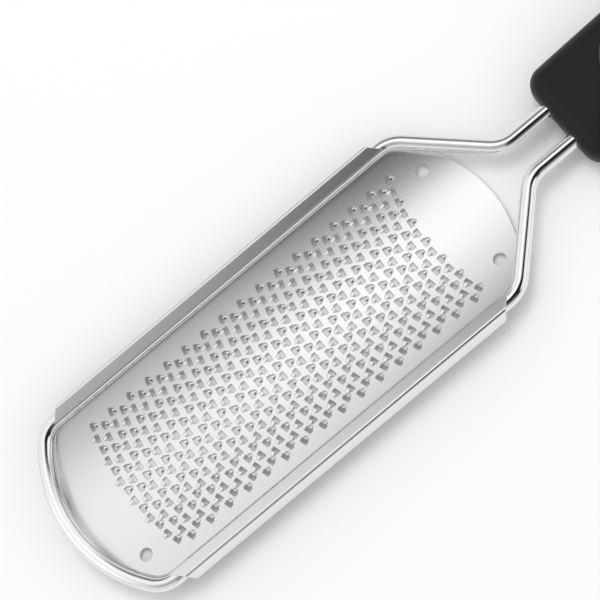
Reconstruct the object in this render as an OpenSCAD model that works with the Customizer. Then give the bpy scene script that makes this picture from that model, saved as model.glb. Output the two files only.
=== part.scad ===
// Foot scraper. A trough-shaped rasp sheet is folded round the two long sides of a bent wire frame.
// The frame's two legs run back into a moulded handle with a soft thumb pad.
// +X runs from the tip to the end of the handle, +Y across, and +Z up, out of the rasping face.
// The part lies on z = 0 on the belly of its sheet and of its handle.
// Its origin is at the middle of its length, and inside the modules x = 0 is the middle of the sheet.

/* [Wire frame] */
// Diameter of the round wire
wire_d = 4; // [3:0.1:5]
// Distance between the centre lines of the two long sides
frame_w = 50; // [44:0.5:58]
// Length of the straight part of each long side
side_len = 104; // [98:0.5:125]
// Radius of the round tip, on the wire's centre line
tip_r = 35; // [32:0.5:60]
// Radius of the bends that join the tip to the long sides
tip_corner_r = 8; // [5:0.25:12]
// Angle of the slanted stretches behind the sheet
flare_angle = 45; // [35:1:55]
// Radius of the bends where the long sides end
shoulder_r = 8.5; // [6:0.25:11]
// Radius of the bends where the legs begin
neck_r = 8.5; // [6:0.25:11]
// Distance between the centre lines of the two legs
leg_gap = 10; // [8:0.5:13]
// Bare length of the legs, from the neck bends to the handle
neck_len = 10; // [2:0.5:20]
// Length of the legs inside the handle
leg_grip = 42; // [25:0.5:60]

/* [Rasp sheet] */
// Thickness of the sheet metal
sheet_t = 0.5; // [0.3:0.05:0.8]
// Radius of the trough, on its upper face
trough_r = 90; // [70:1:140]
// Distance that the folded strips reach past each end of the straight wire, on their inner edge
strip_over = 1; // [-3:0.1:1.2]
// Radius of the sheet's round front end, seen from above
front_r = 32; // [30.5:0.25:45]
// Distance that the front end reaches past the straight wire
front_reach = 13; // [9:0.25:13]
// Radius of the sheet's round rear end, seen from above
rear_r = 31; // [30.5:0.25:45]
// Distance that the rear end reaches past the straight wire
rear_reach = 15; // [12:0.25:16]
// Slant of the ends of the folded strips, in degrees from square
strip_slant = 45; // [20:1:55]
// Clearance above and below the wire in the fold
fold_gap = 0.05; // [0.02:0.01:0.2]
// Clearance between the wire and the outer wall of the fold
fold_slack = 0.5; // [0.2:0.05:0.8]
// Inner radius of the two corners of the fold
fold_corner_r = 0.4; // [0.2:0.05:0.6]
// Distance that the strip's free edge reaches past the middle of the wire
fold_reach = 0.5; // [0:0.1:1.5]

/* [Teeth] */
// Number of rows of teeth
tooth_rows = 33; // [1:1:33]
// Number of teeth in a row
tooth_cols = 13; // [1:2:13]
// Distance from row to row
row_pitch = 3; // [2.8:0.05:3.1]
// Distance from tooth to tooth in a row
col_pitch = 3; // [2.8:0.05:3.1]
// Radius of the arc that each row follows
row_r = 60; // [45:1:120]
// Distance of the middle of the field in front of the middle of the sheet
field_shift = 1.8; // [0:0.1:3]
// Width of a slot, across the sheet
slot_w = 2.1; // [1.6:0.05:2.4]
// Length of a slot, along the sheet
slot_l = 1.1; // [0.8:0.05:1.3]
// Height of a tooth's crest above the sheet
tooth_h = 0.5; // [0.4:0.05:0.9]
// Width of a tooth at its mouth
tooth_w = 1.7; // [1.3:0.05:2]
// Length of a tooth, from its mouth to where it meets the sheet
tooth_l = 1.2; // [1:0.05:1.7]

/* [Sheet holes] */
// Diameter of the round holes at the sheet's ends
hole_d = 3.5; // [2.5:0.1:4.5]
// Distance of each hole from the centre line, along the curve of the sheet
hole_y = 15; // [13:0.25:17]
// Distance from the sheet's front end to the middle of its hole
front_hole_in = 9.4; // [7:0.1:10]
// Distance from the sheet's rear end to the middle of its holes
rear_hole_in = 9.7; // [8:0.1:10]

/* [Handle] */
// Length of the handle
handle_len = 106; // [80:1:140]
// Width of the handle
handle_w = 29; // [26:0.5:36]
// Thickness of the handle at its front
front_t = 11.5; // [11:0.5:14]
// Thickness of the handle at the palm
palm_t = 18; // [15:0.5:22]
// Distance behind the handle's front at which its straight top slope would reach the palm's thickness
palm_back = 60; // [55:1:65]
// Length over which the palm keeps its thickness behind that
palm_len = 20; // [16:1:22]
// Width of the handle at its rear end
rear_w = 26; // [20:0.5:28]
// Thickness of the handle at its rear end
rear_t = 15.5; // [13:0.5:17]
// Radius of the handle's edges and of its front corners
edge_r = 5; // [4:0.25:5]
// Smallest edge radius, at the rims of the handle's two ends
rim_r = 0.6; // [0.4:0.1:1]
// Bulge of the handle's front face between its corners
front_bulge = 0.8; // [0:0.1:2]
// Clearance round each leg in its bore
bore_gap = 0.05; // [0.02:0.01:0.3]
// Clearance at the blind end of each bore
bore_end_gap = 0.5; // [0.1:0.1:2]

/* [Thumb pad] */
// Diameter of the thumb pad
pad_d = 18; // [16:0.5:22]
// Distance of the pad's middle behind the handle's front
pad_back = 24.5; // [20:0.5:34]
// Depth of the seat that the pad lies in, at the middle of the pad
pad_seat = 1.5; // [1:0.1:2]
// Height of the pad's crown above the handle
pad_crown = 0.9; // [0.5:0.1:1.5]
// Clearance between the pad and its seat
pad_gap = 0.1; // [0.05:0.01:0.3]

/* [Hidden] */

// A little extra reach for the bodies that cut
over = 1;
// Steps in each corner of the fold
fold_steps = 6;

wire_r = wire_d / 2;
half_w = frame_w / 2;
leg_y = leg_gap / 2;

// The sheet runs straight on under each wire, so the fold leans outwards by lean
fold_h = wire_r + fold_gap;
lean = asin(half_w / (trough_r - fold_h));
trough_axis = half_w / tan(lean);
wire_z = sheet_t + trough_r - trough_axis;

// The wire's long sides, from the tip bends to the shoulder bends
side_rear = side_len / 2;
side_front = -side_rear;
tip_axis = side_front + sqrt(pow(tip_r - tip_corner_r, 2) - pow(half_w - tip_corner_r, 2));
tip_half_angle = asin((half_w - tip_corner_r) / (tip_r - tip_corner_r));
tip_end = tip_axis - tip_r - wire_r;

// The slanted stretches drop from the long sides to the legs
flare_drop = half_w - leg_y;
shoulder_reach = shoulder_r * tan(flare_angle / 2);
neck_reach = neck_r * tan(flare_angle / 2);
leg_start = side_rear + shoulder_reach + flare_drop / tan(flare_angle) + neck_reach;

handle_front = leg_start + neck_len;
handle_end = handle_front + handle_len;
middle = (tip_end + handle_end) / 2;

// The round ends of the sheet, the ends of its folded strips on their inner edge, and the strips' two edges
sheet_front = side_front - front_reach;
sheet_rear = side_rear + rear_reach;
strip_end = side_rear + strip_over;
strip_edge = half_w - fold_reach * cos(lean) - (fold_h + sheet_t) * sin(lean);
corner_out = wire_r + fold_slack - fold_corner_r;
corner_up = fold_h - fold_corner_r;
strip_out = half_w + corner_out * cos(lean) + corner_up * sin(lean) + fold_corner_r + sheet_t;

// The top of the handle rises straight from its front, and the pad lies square to that slope
round_r = edge_r - rim_r;
top_slope = atan((palm_t - front_t) / (palm_back - round_r));
pad_x = handle_front + pad_back;
pad_z = front_t + (pad_back - round_r) * tan(top_slope);
pad_r = pad_d / 2;
crown_r = (pow(pad_r, 2) + pow(pad_crown, 2)) / (2 * pad_crown);

module in_place() {
    translate([-middle, 0, 0]) children();
}

module both_sides() {
    children();
    mirror([0, 1, 0]) children();
}

// Stations of a bend, each the x and y of a point on the centre line and its heading
function bend(x, y, r, from, to, steps) =
    let (way = to > from ? 1 : -1)
    [for (i = [0:steps]) let (t = from + (to - from) * i / steps)
        [x + r * cos(t), y + r * sin(t), -way * sin(t), way * cos(t)]];

// One half of the wire, from the middle of the tip to the end of the leg on +Y
half_wire = concat(
    bend(tip_axis, 0, tip_r, 180, 180 - tip_half_angle, 9),
    bend(side_front, half_w - tip_corner_r, tip_corner_r, 180 - tip_half_angle, 90, 6),
    bend(side_rear, half_w - shoulder_r, shoulder_r, 90, 90 - flare_angle, 5),
    bend(leg_start, leg_y + neck_r, neck_r, 270 - flare_angle, 270, 5),
    [[handle_front + leg_grip, leg_y, 1, 0]]);

// The same half run backwards on -Y, and then the half itself from its second station
last = len(half_wire) - 1;
whole_wire = concat(
    [for (i = [last:-1:0]) let (p = half_wire[i]) [p[0], -p[1], -p[2], p[3]]],
    [for (i = [1:last]) half_wire[i]]);

// Sweeps a round section along stations that lie in one plane
module sweep(stations, r, sides) {
    rings = len(stations);
    polyhedron(
        points = [for (p = stations, k = [0:sides - 1]) let (t = 360 * k / sides)
            [p[0] - r * cos(t) * p[3], p[1] + r * cos(t) * p[2], r * sin(t)]],
        faces = concat(
            [[for (k = [0:sides - 1]) k]],
            [for (i = [0:rings - 2], k = [0:sides - 1]) let (n = (k + 1) % sides)
                [i * sides + k, (i + 1) * sides + k, (i + 1) * sides + n, i * sides + n]],
            [[for (k = [sides - 1:-1:0]) (rings - 1) * sides + k]]));
}

module wire_frame() {
    color("silver") in_place() translate([0, 0, wire_z]) sweep(whole_wire, wire_r, 24);
}

// Points across the sheet from one free edge to the other, on the face that lies off below its upper one.
// Each fold goes out under the wire, up at a corner, back at another and flat over the wire.
function leaning(side, out, up) =
    [side * (half_w + out * cos(lean) - up * sin(lean)), out * sin(lean) + up * cos(lean)];
function fold_face(off, side) = concat(
    [for (end = [-1, 1], i = [0:fold_steps]) let (t = 45 * (end - 1) + 90 * i / fold_steps)
        leaning(side, corner_out + (fold_corner_r + off) * cos(t), end * corner_up + (fold_corner_r + off) * sin(t))],
    [leaning(side, -fold_reach, fold_h + off)]);
function trough_face(off) = [for (i = [-8:8]) let (t = lean * i / 8)
    [(trough_r + off) * sin(t), trough_axis - (trough_r + off) * cos(t)]];
function turned(list) = [for (i = [len(list) - 1:-1:0]) list[i]];
function sheet_face(off) = concat(turned(fold_face(off, -1)), trough_face(off), fold_face(off, 1));

// Runs a section drawn across the tool, with its y as height, along the whole sheet
module along() {
    translate([sheet_front - over, 0, wire_z]) rotate([90, 0, 90])
        linear_extrude(sheet_rear - sheet_front + 2 * over) children();
}

// Keeps what lies inside an outline drawn from above
module trim() {
    intersection() {
        children(0);
        translate([0, 0, -over]) linear_extrude(wire_z + fold_h + sheet_t + 2 * over) children(1);
    }
}

module strips_plan() {
    run = strip_out + over - strip_edge;
    short = run * tan(strip_slant);
    polygon([for (side = [[1, 1], [-1, 1], [-1, -1], [1, -1]], far = side[0] * side[1] > 0 ? [0, 1] : [1, 0])
        [side[0] * (strip_end - far * short), side[1] * (strip_edge + far * run)]]);
}

module ends_plan() {
    intersection() {
        translate([sheet_front + front_r, 0]) circle(r = front_r, $fn = 128);
        translate([sheet_front, -half_w - fold_h]) square([front_r, 2 * (half_w + fold_h)]);
    }
    intersection() {
        translate([sheet_rear - rear_r, 0]) circle(r = rear_r, $fn = 128);
        translate([sheet_rear - rear_r, -half_w - fold_h]) square([rear_r, 2 * (half_w + fold_h)]);
    }
    front_axis = sheet_front + front_r;
    translate([front_axis, -half_w - fold_h]) square([sheet_rear - rear_r - front_axis, 2 * (half_w + fold_h)]);
}

module blank() {
    trim() {
        along() polygon(concat(sheet_face(0), turned(sheet_face(sheet_t))));
        strips_plan();
    }
    trim() {
        along() polygon(concat(trough_face(0), turned(trough_face(sheet_t))));
        ends_plan();
    }
}

// Carries its children to the sheet's upper face, at distance s from the centre line along the curve
module on_sheet(x, s, turn = 0) {
    translate([x, 0, wire_z + trough_axis])
        rotate([s / trough_r * 180 / PI, 0, 0])
            translate([0, 0, -trough_r])
                rotate([0, 0, turn]) children();
}

// Places children(0) at each tooth, facing the handle and the tip by turns along a row
module each_tooth() {
    for (i = [0:tooth_rows - 1], j = [0:tooth_cols - 1]) {
        stagger = (i % 2 == 0 ? 0.25 : -0.25) * col_pitch;
        s = ((tooth_cols - 1) / 2 - j) * col_pitch + stagger;
        x = (i - (tooth_rows - 1) / 2) * row_pitch - field_shift + row_r - sqrt(row_r * row_r - s * s);
        on_sheet(x, s, -asin(s / row_r)) mirror([j % 2, 0, 0]) children();
    }
}

module slot() {
    translate([-slot_l / 2, -slot_w / 2, -2 * sheet_t]) cube([slot_l, slot_w, 3 * sheet_t]);
}

// A tooth is a ramp raised from the sheet, highest at its mouth beside the slot
module ramp() {
    translate([slot_l / 2, tooth_w / 2, 0]) rotate([90, 0, 0]) linear_extrude(tooth_w)
        polygon([[0, -sheet_t / 2], [0, tooth_h], [tooth_l / 3, tooth_h * 0.8], [tooth_l, -sheet_t / 2]]);
}

module rasp_sheet() {
    color("gainsboro") in_place() difference() {
        union() {
            blank();
            each_tooth() ramp();
        }
        each_tooth() slot();
        for (at = [[sheet_rear - rear_hole_in, 1], [sheet_rear - rear_hole_in, -1], [sheet_front + front_hole_in, -1]])
            on_sheet(at[0], at[1] * hole_y)
                translate([0, 0, -2 * sheet_t]) cylinder(d = hole_d, h = 4 * sheet_t, $fn = 32);
    }
}

// A round-cornered section across the handle, bent back at its sides by bow
corner_steps = 5;
function ring(x, half, low, high, r, bow = 0) =
    [for (q = [[1, 1, 0], [-1, 1, 90], [-1, -1, 180], [1, -1, 270]], i = [0:corner_steps])
        let (a = q[2] + 90 * i / corner_steps, y = q[0] * (half - r) + r * cos(a))
        [handle_front + x + bow * pow(2 * y / handle_w, 2), y, (q[1] > 0 ? high - r : low + r) + r * sin(a)]];

function mix(a, b, t) = a + (b - a) * t;
function curve(a, b, c, t) = mix(mix(a, b, t), mix(b, c, t), t);

// Sections from front to rear: the front edge, the slope under the pad, the palm, and the round rear end
flat_end = pad_back + pad_r + pad_gap + over;
flat_end_t = front_t + (flat_end - round_r) * tan(top_slope);
rear_start = handle_len - rear_w / 2;
grip_rings = concat(
    [for (i = [0:5]) let (inset = round_r * (1 - sin(18 * i)))
        ring(round_r * (1 - cos(18 * i)), handle_w / 2 - inset, inset, front_t - inset, edge_r - inset, front_bulge)],
    [for (i = [0:6]) let (p = curve([flat_end, flat_end_t], [palm_back, palm_t], [palm_back + palm_len / 2, palm_t], i / 6))
        ring(p[0], handle_w / 2, 0, p[1], edge_r)],
    [for (i = [1:5]) let (p = curve([palm_back + palm_len / 2, palm_t, handle_w / 2],
            [palm_back + palm_len, palm_t, handle_w / 2], [rear_start, rear_t, rear_w / 2], i / 5))
        ring(p[0], p[2], 0, p[1], edge_r)],
    [for (i = [1:8]) let (turn = 90 * i / 8, inset = round_r * (1 - cos(turn)))
        ring(rear_start + rear_w / 2 * sin(turn), mix(edge_r, rear_w / 2, cos(turn)), inset, rear_t - inset, edge_r - inset)]);

// A skin through all sections, closed at the front by a fan and at the rear by a flat
module grip() {
    rings = len(grip_rings);
    sides = len(grip_rings[0]);
    polyhedron(
        points = concat([for (r = grip_rings, p = r) p], [[handle_front, 0, front_t / 2]]),
        faces = concat(
            [for (k = [0:sides - 1]) [rings * sides, k, (k + 1) % sides]],
            [for (i = [0:rings - 2], k = [0:sides - 1]) let (n = (k + 1) % sides)
                [i * sides + k, (i + 1) * sides + k, (i + 1) * sides + n, i * sides + n]],
            [[for (k = [sides - 1:-1:0]) (rings - 1) * sides + k]]));
}

module handle() {
    bore_r = wire_r + bore_gap;
    bore_len = leg_grip + bore_end_gap;
    color([0.15, 0.15, 0.15]) in_place() difference() {
        grip();
        both_sides() translate([handle_front - over, leg_y, wire_z])
            rotate([0, 90, 0]) cylinder(r = bore_r, h = bore_len + over, $fn = 32);
        on_slope() translate([0, 0, -pad_seat]) cylinder(r = pad_r + pad_gap, h = pad_seat + edge_r, $fn = 64);
    }
}

module on_slope() {
    translate([pad_x, 0, pad_z]) rotate([0, -top_slope, 0]) children();
}

module thumb_pad() {
    color("dimgray") in_place() on_slope() intersection() {
        translate([0, 0, pad_gap - pad_seat]) cylinder(r = pad_r, h = pad_seat + pad_crown, $fn = 64);
        translate([0, 0, pad_crown - crown_r]) sphere(r = crown_r, $fn = 180);
    }
}

wire_frame();
rasp_sheet();
handle();
thumb_pad();
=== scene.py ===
"""Foot scraper: a toothed steel sheet folded onto a wire frame, with a moulded handle and a thumb pad.

Each piece is drawn in millimetres from the middle of the wire's straight sides, and then placed in the
frame in metres.
"""

import math

import bmesh
import bpy
from mathutils import Matrix, Vector


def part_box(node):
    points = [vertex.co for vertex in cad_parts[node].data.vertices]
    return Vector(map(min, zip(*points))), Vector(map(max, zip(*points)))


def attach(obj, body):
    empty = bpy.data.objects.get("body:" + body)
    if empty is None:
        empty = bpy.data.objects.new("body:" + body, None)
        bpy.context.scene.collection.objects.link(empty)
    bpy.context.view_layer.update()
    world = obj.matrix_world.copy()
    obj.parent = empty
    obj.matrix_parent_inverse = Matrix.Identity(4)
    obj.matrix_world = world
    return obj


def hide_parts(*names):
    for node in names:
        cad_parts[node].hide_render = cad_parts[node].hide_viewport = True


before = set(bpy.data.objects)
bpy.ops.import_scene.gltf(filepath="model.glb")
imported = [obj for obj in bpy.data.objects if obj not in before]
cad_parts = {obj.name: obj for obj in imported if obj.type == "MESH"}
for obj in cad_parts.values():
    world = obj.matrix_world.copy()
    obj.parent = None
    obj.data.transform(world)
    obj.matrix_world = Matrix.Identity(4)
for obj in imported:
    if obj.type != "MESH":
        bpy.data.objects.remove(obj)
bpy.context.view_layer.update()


# The wire frame: one length of 4 mm stainless wire, bent cold into a tip, two sides and two legs.
# It is drawn and then polished, so it mirrors the room in narrow bands along its length, a little
# blurred by the scratches of the drawing, which are coarser here than real ones so that they show.

# Its radius, and along its centre line half the width and half the straight sides, the radii of the
# tip, its corners, the shoulders and the necks, the slant, the legs' offset, and their lengths before
# and in the handle. Then its height, how finely it is drawn, and its scratches
WIRE_R = 2.0
HALF_W = 25.0
SIDE = 52.0
TIP_R = 35.0
TIP_CORNER_R = 8.0
SHOULDER_R = 8.5
NECK_R = 8.5
FLARE = math.radians(45)
LEG_Y = 5.0
NECK = 10.0
GRIP = 42.0
WIRE_Z = 6.178
WIRE_POINTS = 40
TIP_STEPS = 28
TIP_CORNER_STEPS = 16
BEND_STEPS = 14
MERGE = 0.001
SCRATCHES_PER_MM = 0.9
SCRATCH_DEPTH = 0.05

tip_axis = -SIDE + math.sqrt((TIP_R - TIP_CORNER_R) ** 2 - (HALF_W - TIP_CORNER_R) ** 2)
tip_half = math.asin((HALF_W - TIP_CORNER_R) / (TIP_R - TIP_CORNER_R))
flare_len = (HALF_W - LEG_Y - (SHOULDER_R + NECK_R) * (1 - math.cos(FLARE))) / math.sin(FLARE)
leg_start = SIDE + (SHOULDER_R + NECK_R) * math.tan(FLARE / 2) + (HALF_W - LEG_Y) / math.tan(FLARE)
handle_front = leg_start + NECK

# Where the frame's origin lies along the tool, from the middle of the straight sides
middle = tip_axis - TIP_R - WIRE_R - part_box("wire_frame")[0].x * 1000


def linear(code):
    """The linear colour of an sRGB hex value."""
    parts = [int(code[i:i + 2], 16) / 255 for i in (1, 3, 5)]
    return [c / 12.92 if c <= 0.04045 else ((c + 0.055) / 1.055) ** 2.4 for c in parts] + [1.0]


def start_material(name):
    """A new material with an empty tree."""
    material = bpy.data.materials.new(name)
    material.use_nodes = True
    material.node_tree.nodes.clear()
    return material


def add_node(owner, kind, values=None, links=None, **settings):
    """Adds a node to a material or world, with its options, socket values and links from earlier nodes."""
    tree = owner.node_tree
    made = tree.nodes.new(kind)
    for name, value in settings.items():
        setattr(made, name, value)
    for socket, value in (values or {}).items():
        made.inputs[socket].default_value = value
    for socket, (source, output) in (links or {}).items():
        tree.links.new(source.outputs[output], made.inputs[socket])
    return made


def turned_to_mesh(bm, name):
    """A mesh of what the bmesh holds. The bmesh is freed."""
    mesh = bpy.data.meshes.new(name)
    bm.to_mesh(mesh)
    bm.free()
    return mesh


def put_in_scene(name, data):
    """A new object with the given data, linked to the scene."""
    made = bpy.data.objects.new(name, data)
    bpy.context.scene.collection.objects.link(made)
    return made


def finish_piece(bm, name, material, nodes, angle=35):
    """Places a mesh in the frame, as a piece that replaces CAD nodes."""
    place = Matrix.Translation((-middle / 1000, 0, 0)) @ Matrix.Scale(0.001, 4)
    bmesh.ops.transform(bm, matrix=place, verts=bm.verts)
    mesh = turned_to_mesh(bm, name)
    mesh.shade_smooth()
    mesh.set_sharp_from_angle(angle=math.radians(angle))
    mesh.materials.append(material)
    piece = put_in_scene(name, mesh)
    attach(piece, "root")
    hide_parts(*nodes)
    return piece


def extruded(bm, edges):
    """Extrudes the edges of an open rim, and returns its new points and the edges between them."""
    made = bmesh.ops.extrude_edge_only(bm, edges=edges)["geom"]
    points = [g for g in made if isinstance(g, bmesh.types.BMVert)]
    fresh = [g for g in made if isinstance(g, bmesh.types.BMEdge) and all(v in points for v in g.verts)]
    return points, fresh


def run_on(bm, edges, direction, length):
    """Carries the open end of the wire on in a straight line and returns the edges of its new end."""
    points, fresh = extruded(bm, edges)
    bmesh.ops.translate(bm, vec=Vector(direction) * length, verts=points)
    return fresh


def turn_on(bm, edges, centre, angle, steps):
    """Bends the open end of the wire on round a centre and returns the edges of its new end."""
    made = bmesh.ops.spin(bm, geom=edges, cent=(centre[0], centre[1], WIRE_Z), axis=(0, 0, 1),
                          dvec=(0, 0, 0), angle=angle, steps=steps, use_merge=False,
                          use_normal_flip=False, use_duplicate=False)
    return [g for g in made["geom_last"] if isinstance(g, bmesh.types.BMEdge)]


# Half of the wire, from the middle of the tip to the end of one leg, which is then mirrored
wire = bmesh.new()
start = Matrix.Translation((tip_axis - TIP_R, 0, WIRE_Z)) @ Matrix.Rotation(math.radians(90), 4, "X")
bmesh.ops.create_circle(wire, cap_ends=False, radius=WIRE_R, segments=WIRE_POINTS, matrix=start)
end = turn_on(wire, wire.edges[:], (tip_axis, 0), -tip_half, TIP_STEPS)
end = turn_on(wire, end, (-SIDE, HALF_W - TIP_CORNER_R), -(math.pi / 2 - tip_half), TIP_CORNER_STEPS)
end = run_on(wire, end, (1, 0, 0), 2 * SIDE)
end = turn_on(wire, end, (SIDE, HALF_W - SHOULDER_R), -FLARE, BEND_STEPS)
end = run_on(wire, end, (math.cos(FLARE), -math.sin(FLARE), 0), flare_len)
end = turn_on(wire, end, (leg_start, LEG_Y + NECK_R), FLARE, BEND_STEPS)
end = run_on(wire, end, (1, 0, 0), NECK + GRIP)
bmesh.ops.edgeloop_fill(wire, edges=end)
bmesh.ops.mirror(wire, geom=wire.verts[:] + wire.edges[:] + wire.faces[:], axis="Y", merge_dist=MERGE)
bmesh.ops.recalc_face_normals(wire, faces=wire.faces)

polished_wire = start_material("polished stainless wire")
where = add_node(polished_wire, "ShaderNodeTexCoord")
scratches = add_node(polished_wire, "ShaderNodeTexNoise",
                     {"Scale": SCRATCHES_PER_MM * 1000, "Detail": 3.0}, {"Vector": (where, "Object")})
roughness = add_node(polished_wire, "ShaderNodeMapRange", {"To Min": 0.07, "To Max": 0.14},
                     {"Value": (scratches, "Fac")})
bump = add_node(polished_wire, "ShaderNodeBump", {"Strength": 0.05, "Distance": SCRATCH_DEPTH / 1000},
                {"Height": (scratches, "Fac")})
steel = add_node(polished_wire, "ShaderNodeBsdfPrincipled",
                 {"Base Color": linear("#F0F0F1"), "Metallic": 1.0},
                 {"Roughness": (roughness, "Result"), "Normal": (bump, "Normal")})
add_node(polished_wire, "ShaderNodeOutputMaterial", {}, {"Surface": (steel, "BSDF")})
finish_piece(wire, "bent_wire", polished_wire, ["wire_frame"])


# The rasp sheet: half-millimetre stainless sheet, punched and embossed flat, then bent to a trough
# and folded round the wire's two long sides. It is drawn flat here as well: cut to its outline,
# pierced, toothed, and then bent. Its satin face spreads every highlight.

# Sizes of the trough, of its round ends and their reach past the wire's straight sides, and of the
# folds and the strips they end in, with the sheet's play on the wire. Then the lanes it is drawn in
# and the bevel of its cut edges
SHEET_T = 0.5
TROUGH_R = 90.0
FRONT_R = 32.0
FRONT_REACH = 13.0
REAR_R = 31.0
REAR_REACH = 15.0
STRIP_OVER = 1.0
PLAY = 0.05
FOLD_H = WIRE_R + PLAY
FOLD_SLACK = 0.5
FOLD_CORNER_R = 0.4
FOLD_REACH = 0.5
TROUGH_LANES = 34
FIRST_LANE = 0.3
CORNER_LANES = 8
CUT_EDGE = 0.1

lean = math.asin(HALF_W / (TROUGH_R - FOLD_H))
trough_axis = HALF_W / math.tan(lean)
tangent_s = TROUGH_R * lean
corner_out = WIRE_R + FOLD_SLACK - FOLD_CORNER_R
corner_up = FOLD_H - FOLD_CORNER_R
corner_len = math.pi / 2 * (FOLD_CORNER_R + SHEET_T / 2)
strip_edge = HALF_W - FOLD_REACH * math.cos(lean) - (FOLD_H + SHEET_T) * math.sin(lean)
sheet_front = -SIDE - FRONT_REACH
sheet_rear = SIDE + REAR_REACH


def leaning(side, out, up):
    """A point of the fold, which leans outwards round the wire's centre."""
    across = HALF_W + out * math.cos(lean) - up * math.sin(lean)
    return side * across, WIRE_Z + out * math.sin(lean) + up * math.cos(lean)


def bent(s, h):
    """Where a point at s across the flat sheet and h above its face ends up across and in height."""
    side = math.copysign(1, s)
    past = abs(s) - tangent_s
    if past <= 0:
        t = s / TROUGH_R
        return (TROUGH_R - h) * math.sin(t), WIRE_Z + trough_axis - (TROUGH_R - h) * math.cos(t)
    if past <= corner_out:
        return leaning(side, past, h - FOLD_H)
    past -= corner_out
    r = FOLD_CORNER_R - h
    if past <= corner_len:
        t = math.pi / 2 * (past / corner_len - 1)
        return leaning(side, corner_out + r * math.cos(t), r * math.sin(t) - corner_up)
    past -= corner_len
    if past <= 2 * corner_up:
        return leaning(side, corner_out + r, past - corner_up)
    past -= 2 * corner_up
    if past <= corner_len:
        t = math.pi / 2 * past / corner_len
        return leaning(side, corner_out + r * math.cos(t), r * math.sin(t) + corner_up)
    return leaning(side, corner_out + corner_len - past, FOLD_H - h)


def sheet_end(s, towards_handle):
    """How far the flat sheet reaches along the tool at s across it."""
    y = abs(bent(s, -SHEET_T / 2)[0])
    if abs(s) <= tangent_s:
        if towards_handle:
            return sheet_rear - REAR_R + math.sqrt(REAR_R ** 2 - y ** 2)
        return sheet_front + FRONT_R - math.sqrt(FRONT_R ** 2 - y ** 2)
    reach = SIDE + STRIP_OVER - (y - strip_edge)
    return reach if towards_handle else -reach


# The outline: narrow lanes along the tool, each as long as the sheet is there, with a finely bevelled rim
stops = [tangent_s * i / TROUGH_LANES for i in range(1, TROUGH_LANES + 1)]
for run, lanes in ((FIRST_LANE, 1), (corner_out - FIRST_LANE, 1), (corner_len, CORNER_LANES),
                   (2 * corner_up, 1), (corner_len, CORNER_LANES), (corner_out + FOLD_REACH, 1)):
    stops += [stops[-1] + run * (i + 1) / lanes for i in range(lanes)]
stops = [-s for s in reversed(stops)] + [0.0] + stops
all_lanes = len(stops) - 1
plate = bmesh.new()
bmesh.ops.create_grid(plate, x_segments=1, y_segments=all_lanes, size=1)
for v in plate.verts:
    v.co.y = stops[round((v.co.y + 1) / 2 * all_lanes)]
    v.co.x = sheet_end(v.co.y, v.co.x > 0)
bmesh.ops.solidify(plate, geom=plate.faces[:], thickness=SHEET_T)
top = max(v.co.z for v in plate.verts)
bmesh.ops.translate(plate, vec=(0, 0, -top), verts=plate.verts)
bmesh.ops.recalc_face_normals(plate, faces=plate.faces)
square_edges = [e for e in plate.edges if e.calc_face_angle(0) > math.radians(60)]
rim = [e for e in square_edges if abs(e.verts[0].co.z - e.verts[1].co.z) < SHEET_T / 2]
bmesh.ops.bevel(plate, geom=rim, offset=CUT_EDGE, offset_type="OFFSET", segments=1, profile=0.5,
                affect="EDGES", material=-1, clamp_overlap=True)

# A punch draws the upper face in a little before it breaks through, which leaves each slot a fine rim
SLOT_W = 2.1
SLOT_L = 1.1
SLOT_RIM = 0.07

head = bmesh.new()
bmesh.ops.create_grid(head, x_segments=1, y_segments=1, size=0.5)
bmesh.ops.scale(head, vec=(SLOT_L, SLOT_W, 1), verts=head.verts)
bmesh.ops.translate(head, vec=(0, 0, -3 * SHEET_T), verts=head.verts)
rim = head.edges[:]
for rise, flare in ((3 * SHEET_T - SLOT_RIM, 0), (2 * SLOT_RIM, 4 * SLOT_RIM)):
    points, rim = extruded(head, rim)
    bmesh.ops.translate(head, vec=(0, 0, rise), verts=points)
    bmesh.ops.scale(head, vec=(1 + flare / SLOT_L, 1 + flare / SLOT_W, 1), verts=points)
bmesh.ops.edgeloop_fill(head, edges=rim)
bmesh.ops.recalc_face_normals(head, faces=head.faces)
head_mesh = turned_to_mesh(head, "punch head")


def stamp(bm, mesh, place):
    """Adds a copy of a mesh at a place."""
    first = len(bm.verts)
    bm.from_mesh(mesh)
    bm.verts.ensure_lookup_table()
    bmesh.ops.transform(bm, matrix=place, verts=bm.verts[first:])


# The slots stand in curved, staggered rows. They and the round holes are taken out in one cut
ROWS = 33
COLS = 13
PITCH = 3.0
STAGGER = PITCH / 4
ROW_R = 60.0
FIELD_SHIFT = 1.8
HOLE_D = 3.5
HOLE_Y = 15.0
HOLE_POINTS = 40
FRONT_HOLE_IN = 9.4
REAR_HOLE_IN = 9.7

punches = bmesh.new()
teeth_at = []
for i in range(ROWS):
    for j in range(COLS):
        s = ((COLS - 1) / 2 - j) * PITCH + (STAGGER if i % 2 == 0 else -STAGGER)
        x = (i - (ROWS - 1) / 2) * PITCH - FIELD_SHIFT + ROW_R - math.sqrt(ROW_R ** 2 - s ** 2)
        place = Matrix.Translation((x, s, 0)) @ Matrix.Rotation(-math.asin(s / ROW_R), 4, "Z")
        teeth_at.append(place @ Matrix.Rotation(math.pi * (j % 2), 4, "Z"))
        stamp(punches, head_mesh, place)
for x, s in ((sheet_rear - REAR_HOLE_IN, HOLE_Y), (sheet_rear - REAR_HOLE_IN, -HOLE_Y),
             (sheet_front + FRONT_HOLE_IN, -HOLE_Y)):
    bmesh.ops.create_cone(punches, cap_ends=True, cap_tris=False, segments=HOLE_POINTS, radius1=HOLE_D / 2,
                          radius2=HOLE_D / 2, depth=3 * SHEET_T, matrix=Matrix.Translation((x, s, 0)))
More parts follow.
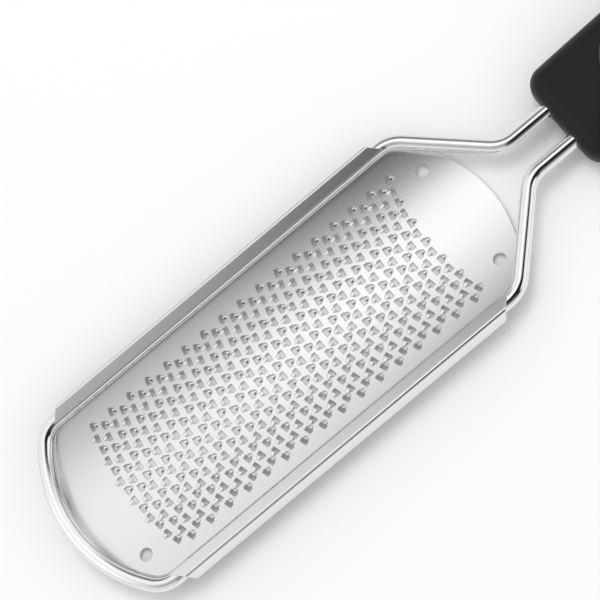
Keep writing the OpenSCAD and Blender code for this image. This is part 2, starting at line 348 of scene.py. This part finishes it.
blank = put_in_scene("sheet_blank", turned_to_mesh(plate, "sheet blank"))
punch = put_in_scene("punches", turned_to_mesh(punches, "punches"))
cut = blank.modifiers.new("punch", "BOOLEAN")
cut.operation = "DIFFERENCE"
cut.solver = "MANIFOLD"
cut.object = punch
pierced = bpy.data.meshes.new_from_object(blank.evaluated_get(bpy.context.evaluated_depsgraph_get()))
bpy.data.objects.remove(blank)
bpy.data.objects.remove(punch)

# A tooth is a half dome pushed up behind its slot, open towards it, with the sheet's edge as its lip.
# It is turned from half its side view, in parts of its length and height, and hollowed from its mouth
TOOTH_H = 0.5
TOOTH_W = 1.7
TOOTH_L = 1.2
TOOTH_STEPS = 8
SIDE_VIEW = ((0, 1), (0.45, 0.96), (0.7, 0.82), (0.86, 0.55), (0.96, 0.22), (1, 0))
MOUTH_WIDE = 0.74
MOUTH_HIGH = 0.66
HOLLOW_DEEP = 0.6
HOLLOW_END = 0.05

tooth = bmesh.new()
profile = [tooth.verts.new((r, 0, z)) for r, z in SIDE_VIEW]
arc = [tooth.edges.new(pair) for pair in zip(profile, profile[1:])]
bmesh.ops.rotate(tooth, cent=(0, 0, 0), matrix=Matrix.Rotation(-math.pi / 2, 3, "Z"), verts=profile)
bmesh.ops.spin(tooth, geom=arc, cent=(0, 0, 0), axis=(0, 0, 1), dvec=(0, 0, 0), angle=math.pi,
               steps=TOOTH_STEPS, use_merge=False, use_normal_flip=False, use_duplicate=False)
bmesh.ops.remove_doubles(tooth, verts=tooth.verts, dist=MERGE)
rim = [e for e in tooth.edges if e.is_boundary and all(abs(v.co.x) < MERGE for v in e.verts)]
mouth, rim = extruded(tooth, rim)
bmesh.ops.scale(tooth, vec=(1, MOUTH_WIDE, MOUTH_HIGH), verts=mouth)
hollow = extruded(tooth, rim)[0]
bmesh.ops.scale(tooth, vec=(1, HOLLOW_END, HOLLOW_END), verts=hollow)
bmesh.ops.translate(tooth, vec=(HOLLOW_DEEP, 0, 0), verts=hollow)
bmesh.ops.scale(tooth, vec=(TOOTH_L, TOOTH_W / 2, TOOTH_H + SLOT_RIM), verts=tooth.verts)
bmesh.ops.translate(tooth, vec=(SLOT_L / 2, 0, -SLOT_RIM), verts=tooth.verts)
bmesh.ops.recalc_face_normals(tooth, faces=tooth.faces)
crown = max(tooth.faces, key=lambda f: f.calc_center_median().z)
if crown.normal.z < 0:
    bmesh.ops.reverse_faces(tooth, faces=tooth.faces)
tooth_mesh = turned_to_mesh(tooth, "tooth")

sheet = bmesh.new()
sheet.from_mesh(pierced)
for place in teeth_at:
    stamp(sheet, tooth_mesh, place)
for v in sheet.verts:
    v.co.y, v.co.z = bent(v.co.y, v.co.z)

# Rolling leaves fine marks along the sheet, drawn coarser than real ones, and hands leave broad ones
ROLLING_PER_MM = 1.8
ROLLING_LONG = 0.12
ROLLING_DEPTH = 0.01
HANDLING_PER_MM = 0.06

satin_sheet = start_material("satin stainless sheet")
where = add_node(satin_sheet, "ShaderNodeTexCoord")
stretch = add_node(satin_sheet, "ShaderNodeMapping", {"Scale": (ROLLING_LONG, 1.0, 1.0)},
                   {"Vector": (where, "Object")})
rolling = add_node(satin_sheet, "ShaderNodeTexNoise", {"Scale": ROLLING_PER_MM * 1000, "Detail": 4.0},
                   {"Vector": (stretch, "Vector")})
handling = add_node(satin_sheet, "ShaderNodeTexNoise", {"Scale": HANDLING_PER_MM * 1000, "Detail": 3.0},
                    {"Vector": (where, "Object")})
both = add_node(satin_sheet, "ShaderNodeMath", {}, {0: (rolling, "Fac"), 1: (handling, "Fac")},
                operation="ADD")
roughness = add_node(satin_sheet, "ShaderNodeMapRange", {"From Max": 2.0, "To Min": 0.2, "To Max": 0.26},
                     {"Value": (both, "Value")})
bump = add_node(satin_sheet, "ShaderNodeBump", {"Strength": 0.01, "Distance": ROLLING_DEPTH / 1000},
                {"Height": (rolling, "Fac")})
steel = add_node(satin_sheet, "ShaderNodeBsdfPrincipled",
                 {"Base Color": linear("#EDEDEE"), "Metallic": 1.0},
                 {"Roughness": (roughness, "Result"), "Normal": (bump, "Normal")})
add_node(satin_sheet, "ShaderNodeOutputMaterial", {}, {"Surface": (steel, "BSDF")})
toothed = finish_piece(sheet, "toothed_sheet", satin_sheet, ["rasp_sheet"], angle=40)

# The trough's two faces are shaded as the true cylinder that the rolls leave, with no facets
OFF_FACE = 0.02
IN_LINE = 0.999

faired = []
for face in toothed.data.polygons:
    from_axis = Vector((0, face.center.y * 1000, WIRE_Z + trough_axis - face.center.z * 1000)).length
    on_face = min(abs(from_axis - TROUGH_R), abs(from_axis - TROUGH_R - SHEET_T)) < OFF_FACE
    for corner in face.loop_indices:
        co = toothed.data.vertices[toothed.data.loops[corner].vertex_index].co
        normal = Vector((0, -co.y, (WIRE_Z + trough_axis) / 1000 - co.z)).normalized()
        facing = face.normal.dot(normal)
        if on_face and abs(facing) > IN_LINE:
            faired.append(normal * math.copysign(1, facing))
        else:
            faired.append(Vector((0, 0, 0)))
toothed.data.normals_split_custom_set(faired)


# The handle: one moulding of black plastic shot round the wire's two legs, thickest at the palm.
# The mould is finely sparked, so the face is matte and only its rounded edges catch a soft light.
# The spark is drawn coarser than a real one, so that it shows.

# Sizes of the handle, its thicknesses from front to rear, its edges and the pad's place. Then the
# steps of its sections, and the grain of its face
HANDLE_LEN = 106.0
HANDLE_W = 29.0
FRONT_T = 11.5
PALM_T = 18.0
PALM_BACK = 60.0
PALM_LEN = 20.0
REAR_W = 26.0
REAR_T = 15.5
EDGE_R = 5.0
RIM_R = 0.6
FRONT_BULGE = 0.8
PAD_BACK = 24.5
PAD_R = 9.0
PAD_MARGIN = 1.1
SLOPE_FROM = 10.0
EDGE_STEPS = 9
SLOPE_STEPS = 4
PALM_STEPS = 12
TAPER_STEPS = 10
REAR_STEPS = 16
SPARK_PER_MM = 1.6
SPARK_DEPTH = 0.06
TOUCH_PER_MM = 0.045

round_r = EDGE_R - RIM_R
slope = math.atan((PALM_T - FRONT_T) / (PALM_BACK - round_r))
slope_to = PAD_BACK + PAD_R + PAD_MARGIN
palm_mid = PALM_BACK + PALM_LEN / 2
rear_start = HANDLE_LEN - REAR_W / 2


def slope_height(x):
    """The height of the handle's sloping top at x behind its front."""
    return FRONT_T + (x - round_r) * math.tan(slope)


def mix(a, b, t):
    """The point at t of the way from a to b."""
    return [p + (q - p) * t for p, q in zip(a, b)]


def curve(a, b, c, t):
    """The point at t of a smooth curve from a to c that leaves and arrives in line with b."""
    return mix(mix(a, b, t), mix(b, c, t), t)


def section(x, half, low, high, r, bow=0.0):
    """Points of a round-cornered section across the handle, from one side over the top."""
    points = []
    for side, up, first in ((1, 1, 0), (-1, 1, 90), (-1, -1, 180), (1, -1, 270)):
        for i in range(EDGE_STEPS + 1):
            a = math.radians(first + 90 * i / EDGE_STEPS)
            y = side * (half - r) + r * math.cos(a)
            z = (high - r if up > 0 else low + r) + r * math.sin(a)
            points.append((handle_front + x + bow * (2 * y / HANDLE_W) ** 2, y, z))
    return points


# The sections, from the front's rounded rim over the slope, the palm and the taper to the round rear
sections = []
for i in range(EDGE_STEPS + 1):
    a = math.radians(90 * i / EDGE_STEPS)
    inset = round_r * (1 - math.sin(a))
    sections.append(section(round_r * (1 - math.cos(a)), HANDLE_W / 2 - inset, inset, FRONT_T - inset,
                            EDGE_R - inset, FRONT_BULGE))
for i in range(SLOPE_STEPS):
    x = SLOPE_FROM + (slope_to - SLOPE_FROM) * i / SLOPE_STEPS
    sections.append(section(x, HANDLE_W / 2, 0, slope_height(x), EDGE_R))
for i in range(PALM_STEPS + 1):
    x, high = curve([slope_to, slope_height(slope_to)], [PALM_BACK, PALM_T], [palm_mid, PALM_T],
                    i / PALM_STEPS)
    sections.append(section(x, HANDLE_W / 2, 0, high, EDGE_R))
for i in range(1, TAPER_STEPS + 1):
    x, high, half = curve([palm_mid, PALM_T, HANDLE_W / 2], [PALM_BACK + PALM_LEN, PALM_T, HANDLE_W / 2],
                          [rear_start, REAR_T, REAR_W / 2], i / TAPER_STEPS)
    sections.append(section(x, half, 0, high, EDGE_R))
for i in range(1, REAR_STEPS + 1):
    a = math.radians(90 * i / REAR_STEPS)
    inset = round_r * (1 - math.cos(a))
    half = EDGE_R + (REAR_W / 2 - EDGE_R) * math.cos(a)
    sections.append(section(rear_start + REAR_W / 2 * math.sin(a), half, inset, REAR_T - inset,
                            EDGE_R - inset))

grip = bmesh.new()
bmesh.ops.create_circle(grip, cap_ends=False, radius=1, segments=len(sections[0]))
ring = grip.verts[:]
rim = grip.edges[:]
for v, co in zip(ring, sections[0]):
    v.co = co
bmesh.ops.edgeloop_fill(grip, edges=rim)
bmesh.ops.poke(grip, faces=grip.faces[:])
for points in sections[1:]:
    fresh, rim = extruded(grip, rim)
    followed = {}
    for v in fresh:
        for e in v.link_edges:
            if e.other_vert(v) in ring:
                followed[e.other_vert(v)] = v
    ring = [followed[v] for v in ring]
    for v, co in zip(ring, points):
        v.co = co
bmesh.ops.edgeloop_fill(grip, edges=rim)
bmesh.ops.recalc_face_normals(grip, faces=grip.faces)

black_plastic = start_material("matte black moulded plastic")
where = add_node(black_plastic, "ShaderNodeTexCoord")
spark = add_node(black_plastic, "ShaderNodeTexNoise", {"Scale": SPARK_PER_MM * 1000, "Detail": 3.0},
                 {"Vector": (where, "Object")})
touch = add_node(black_plastic, "ShaderNodeTexNoise", {"Scale": TOUCH_PER_MM * 1000, "Detail": 4.0},
                 {"Vector": (where, "Object")})
roughness = add_node(black_plastic, "ShaderNodeMapRange", {"To Min": 0.42, "To Max": 0.54},
                     {"Value": (touch, "Fac")})
bump = add_node(black_plastic, "ShaderNodeBump", {"Strength": 0.25, "Distance": SPARK_DEPTH / 1000},
                {"Height": (spark, "Fac")})
tint = add_node(black_plastic, "ShaderNodeMix", {6: linear("#0E0E0F"), 7: linear("#131314")},
                {"Factor": (touch, "Fac")}, data_type="RGBA")
plastic = add_node(black_plastic, "ShaderNodeBsdfPrincipled", {"IOR": 1.5, "Specular IOR Level": 0.28},
                   {"Base Color": (tint, 2), "Roughness": (roughness, "Result"), "Normal": (bump, "Normal")})
add_node(black_plastic, "ShaderNodeOutputMaterial", {}, {"Surface": (plastic, "BSDF")})
finish_piece(grip, "moulded_handle", black_plastic, ["handle"], angle=30)


# The thumb pad: a domed disc of soft grey rubber, set in a shallow seat in the handle's sloping top.
# It is softer and paler than the handle, with a dry, fine-grained face that has almost no highlight.
PAD_CROWN = 0.9
PAD_SINK = 1.4
PAD_EDGE = 0.45
PAD_EDGE_SINK = 0.15
PAD_POINTS = 72
CROWN_STEPS = 8
GRAIN_PER_MM = 1.3
GRAIN_DEPTH = 0.08

crown_r = (PAD_R ** 2 + PAD_CROWN ** 2) / (2 * PAD_CROWN)
outline = [(PAD_R, -PAD_SINK), (PAD_R, -PAD_EDGE_SINK)]
for degrees in (22, 45, 68):
    a = math.radians(degrees)
    outline.append((PAD_R - PAD_EDGE + PAD_EDGE * math.cos(a), -PAD_EDGE_SINK + PAD_EDGE * math.sin(a)))
for i in range(CROWN_STEPS + 1):
    reach = (PAD_R - PAD_EDGE) * (1 - i / CROWN_STEPS)
    outline.append((reach, PAD_CROWN - crown_r + math.sqrt(crown_r ** 2 - reach ** 2)))
pad = bmesh.new()
line = [pad.verts.new((r, 0, z)) for r, z in outline]
edges = [pad.edges.new(pair) for pair in zip(line, line[1:])]
bmesh.ops.spin(pad, geom=line + edges, cent=(0, 0, 0), axis=(0, 0, 1), dvec=(0, 0, 0), angle=2 * math.pi,
               steps=PAD_POINTS, use_merge=True, use_normal_flip=False, use_duplicate=False)
bmesh.ops.remove_doubles(pad, verts=pad.verts, dist=MERGE)
bmesh.ops.holes_fill(pad, edges=[e for e in pad.edges if e.is_boundary], sides=0)
bmesh.ops.recalc_face_normals(pad, faces=pad.faces)
seat = Matrix.Translation((handle_front + PAD_BACK, 0, slope_height(PAD_BACK)))
bmesh.ops.transform(pad, matrix=seat @ Matrix.Rotation(-slope, 4, "Y"), verts=pad.verts)

soft_rubber = start_material("soft grey rubber")
where = add_node(soft_rubber, "ShaderNodeTexCoord")
grain = add_node(soft_rubber, "ShaderNodeTexNoise", {"Scale": GRAIN_PER_MM * 1000, "Detail": 2.0},
                 {"Vector": (where, "Object")})
bump = add_node(soft_rubber, "ShaderNodeBump", {"Strength": 0.3, "Distance": GRAIN_DEPTH / 1000},
                {"Height": (grain, "Fac")})
tint = add_node(soft_rubber, "ShaderNodeMix", {6: linear("#3E3E3F"), 7: linear("#484849")},
                {"Factor": (grain, "Fac")}, data_type="RGBA")
rubber = add_node(soft_rubber, "ShaderNodeBsdfPrincipled", {"IOR": 1.5, "Roughness": 0.65},
                  {"Base Color": (tint, 2), "Normal": (bump, "Normal")})
add_node(soft_rubber, "ShaderNodeOutputMaterial", {}, {"Surface": (rubber, "BSDF")})
finish_piece(pad, "thumb_pad_dome", soft_rubber, ["thumb_pad"], angle=50)


# The table: a pale, wide, matte top just under the tool, which keeps the tool's soft shadow. The camera
# and the metal see it a little lighter than its paint. After one bounce the paint counts as grey, so
# that the table's own light doesn't fill the shadow.

# Its radius and its drop below the tool are in metres
TABLE_R = 6.0
TABLE_DROP = 0.0002
TABLE_POINTS = 96

table = bmesh.new()
bmesh.ops.create_circle(table, cap_ends=True, radius=TABLE_R, segments=TABLE_POINTS,
                        matrix=Matrix.Translation((0, 0, -TABLE_DROP)))
table_mesh = turned_to_mesh(table, "table")
pale_table = start_material("pale table")
ray = add_node(pale_table, "ShaderNodeLightPath")
seen = add_node(pale_table, "ShaderNodeMath", {}, {0: (ray, "Is Camera Ray"), 1: (ray, "Is Glossy Ray")},
                operation="MAXIMUM")
seen = add_node(pale_table, "ShaderNodeMath", {}, {0: (seen, "Value"), 1: (ray, "Is Transmission Ray")},
                operation="MAXIMUM")
share = add_node(pale_table, "ShaderNodeMath", {1: 0.05}, {0: (seen, "Value")}, operation="MULTIPLY")
bounced = add_node(pale_table, "ShaderNodeMath", {1: 0.5}, {0: (ray, "Diffuse Depth")},
                   operation="GREATER_THAN")
tint = add_node(pale_table, "ShaderNodeMix", {6: linear("#FAFAFA"), 7: linear("#707070")},
                {"Factor": (bounced, "Value")}, data_type="RGBA")
paint = add_node(pale_table, "ShaderNodeBsdfDiffuse", {}, {"Color": (tint, 2)})
white = add_node(pale_table, "ShaderNodeEmission", {"Color": linear("#FFFFFF"), "Strength": 1.0})
blend = add_node(pale_table, "ShaderNodeMixShader", {},
                 {0: (share, "Value"), 1: (paint, "BSDF"), 2: (white, "Emission")})
add_node(pale_table, "ShaderNodeOutputMaterial", {}, {"Surface": (blend, "Shader")})
table_mesh.materials.append(pale_table)
floor = put_in_scene("table", table_mesh)


# The studio: a white tent round the tool, with a dark gap high over its handle and near side. The
# polished steel mirrors it as the dark bands along the wire and the shaded side of the trough. Matte
# surfaces get one plain level from the whole tent, and the light of the key lamp.
tent = bpy.data.worlds.new("white tent")
bpy.context.scene.world = tent
tent.use_nodes = True
tent.node_tree.nodes.clear()
direction = add_node(tent, "ShaderNodeTexCoord")
apart = add_node(tent, "ShaderNodeSeparateXYZ", {}, {"Vector": (direction, "Generated")})

# The gap: the tent is white towards the tip, and darker the more a direction points to the handle and
# a little to the near side
aside = add_node(tent, "ShaderNodeVectorMath", {1: (0.93, -0.37, 0.0)}, {0: (direction, "Generated")},
                 operation="DOT_PRODUCT")
spread = add_node(tent, "ShaderNodeMapRange", {"From Max": 0.4}, {"Value": (aside, "Value")})
gap = add_node(tent, "ShaderNodeValToRGB", {}, {"Fac": (spread, "Result")})
ramp = gap.color_ramp
ramp.elements[0].position = 0.07
ramp.elements[0].color = linear("#FFFFFF")
ramp.elements[1].position = 1.0
ramp.elements[1].color = (0.02, 0.02, 0.02, 1.0)
for position, level in ((0.12, 0.85), (0.16, 0.6), (0.2, 0.3), (0.26, 0.1), (0.4, 0.03)):
    ramp.elements.new(position).color = (level, level, level, 1.0)

# Its lower part is grey beside the tool, which leaves the wire's legs a grey band next to the black one
low = add_node(tent, "ShaderNodeMapRange", {"From Min": 0.66, "From Max": 0.8, "To Min": 0.6, "To Max": 0.0},
               {"Value": (apart, "Z")})
beside = add_node(tent, "ShaderNodeMapRange",
                  {"From Min": 0.2, "From Max": 0.35, "To Min": 1.0, "To Max": 0.0}, {"Value": (apart, "X")})
low = add_node(tent, "ShaderNodeMath", {}, {0: (low, "Result"), 1: (beside, "Result")}, operation="MULTIPLY")
paler = add_node(tent, "ShaderNodeMix", {"Factor": 1.0}, {6: (gap, "Color"), 7: (low, "Value")},
                 data_type="RGBA", blend_type="ADD")

# On the far side of the tool the tent is whole
across = add_node(tent, "ShaderNodeVectorMath", {1: (0.4, 1.0, 0.0)}, {0: (direction, "Generated")},
                  operation="DOT_PRODUCT")
whole = add_node(tent, "ShaderNodeMapRange", {"From Min": 0.02, "From Max": 0.14},
                 {"Value": (across, "Value")})
lit = add_node(tent, "ShaderNodeMix", {7: linear("#FFFFFF")}, {"Factor": (whole, "Result"), 6: (paler, 2)},
               data_type="RGBA")

# Two soft shades: one low on the far side towards the handle, and one over the near side
beyond = add_node(tent, "ShaderNodeVectorMath", {1: (0.75, 0.66, 0.0)}, {0: (direction, "Generated")},
                  operation="DOT_PRODUCT")
reach = add_node(tent, "ShaderNodeMapRange", {"From Min": 0.4, "From Max": 0.55},
                 {"Value": (apart, "Y")})
far = add_node(tent, "ShaderNodeMapRange",
               {"From Min": 0.41, "From Max": 0.49, "To Min": 0.08, "To Max": 0.75},
               {"Value": (beyond, "Value")})
far = add_node(tent, "ShaderNodeMath", {}, {0: (far, "Result"), 1: (reach, "Result")}, operation="MULTIPLY")
far = add_node(tent, "ShaderNodeMath", {0: 1.0}, {1: (far, "Value")}, operation="SUBTRACT")
near = add_node(tent, "ShaderNodeMapRange",
                {"From Min": 0.08, "From Max": -0.3, "To Min": 1.0, "To Max": 0.42}, {"Value": (apart, "Y")})
shade = add_node(tent, "ShaderNodeMath", {}, {0: (far, "Value"), 1: (near, "Result")}, operation="MULTIPLY")
roof = add_node(tent, "ShaderNodeMix", {"Factor": 1.0}, {6: (lit, 2), 7: (shade, "Value")},
                data_type="RGBA", blend_type="MULTIPLY")

# Below the roof the tent is white down to a grey hem just over the table
high = add_node(tent, "ShaderNodeMapRange", {"From Min": 0.3, "From Max": 0.42}, {"Value": (apart, "Z")})
hem = add_node(tent, "ShaderNodeMapRange", {"From Min": 0.07, "From Max": 0.12, "To Min": 0.3, "To Max": 1.0},
               {"Value": (apart, "Z")})
cloth = add_node(tent, "ShaderNodeMix", {}, {"Factor": (high, "Result"), 6: (hem, "Result"), 7: (roof, 2)},
                 data_type="RGBA")
mirrored = add_node(tent, "ShaderNodeBackground", {"Strength": 1.0}, {"Color": (cloth, 2)})
plain = add_node(tent, "ShaderNodeBackground", {"Color": linear("#FFFFFF"), "Strength": 0.78})
ray = add_node(tent, "ShaderNodeLightPath")
seen = add_node(tent, "ShaderNodeMath", {}, {0: (ray, "Is Glossy Ray"), 1: (ray, "Is Transmission Ray")},
                operation="MAXIMUM")
both = add_node(tent, "ShaderNodeMixShader", {},
                {0: (seen, "Value"), 1: (plain, "Background"), 2: (mirrored, "Background")})
add_node(tent, "ShaderNodeOutputWorld", {}, {"Surface": (both, "Shader")})

# Round lamps: a faint one overhead that the metal mirrors, one towards the handle that brightens the
# teeth's flanks, and the key lamp, which no mirror shows
for name, size, watts, place, in_mirrors in (("soft lamp", 0.46, 0.13, (0.06, 0.25, 1.2), True),
                                             ("side lamp", 0.7, 1.0, (0.81, -0.68, 0.66), True),
                                             ("key lamp", 0.5, 3.3, (0.1, 0.4, 1.1), False)):
    lamp = bpy.data.lights.new(name, "AREA")
    lamp.shape = "DISK"
    lamp.size = size
    lamp.energy = watts
    stand = put_in_scene(name, lamp)
    stand.location = place
    stand.rotation_euler = Vector(place).to_track_quat("Z", "Y").to_euler()
    stand.visible_glossy = in_mirrors


# The camera: high over the tool's near side and turned, so that the handle runs out of the picture at
# the upper right. Its lens, place and turn were solved from the rows of teeth, the wire's straight
# sides and the legs. Its place is in millimetres from the middle of those sides, at their height.
LENS = 114.14
SENSOR = 36.0
CAMERA_AT = (25.381, -114.356, 450.671)
CAMERA_RIGHT = (0.76636, -0.61435, -0.18760)
CAMERA_AHEAD = (-0.02547, 0.26274, -0.96453)

view = bpy.data.cameras.new("camera")
view.lens = LENS
view.sensor_width = SENSOR
view.clip_start = 0.01
camera = put_in_scene("camera", view)
right = Vector(CAMERA_RIGHT).normalized()
ahead = Vector(CAMERA_AHEAD).normalized()
turn = Matrix((right, right.cross(ahead), -ahead)).transposed().to_4x4()
spot = (Vector(CAMERA_AT) + Vector((-middle, 0, WIRE_Z))) / 1000
camera.matrix_world = Matrix.Translation(spot) @ turn
bpy.context.scene.camera = camera

bpy.context.scene.view_settings.view_transform = "Standard"
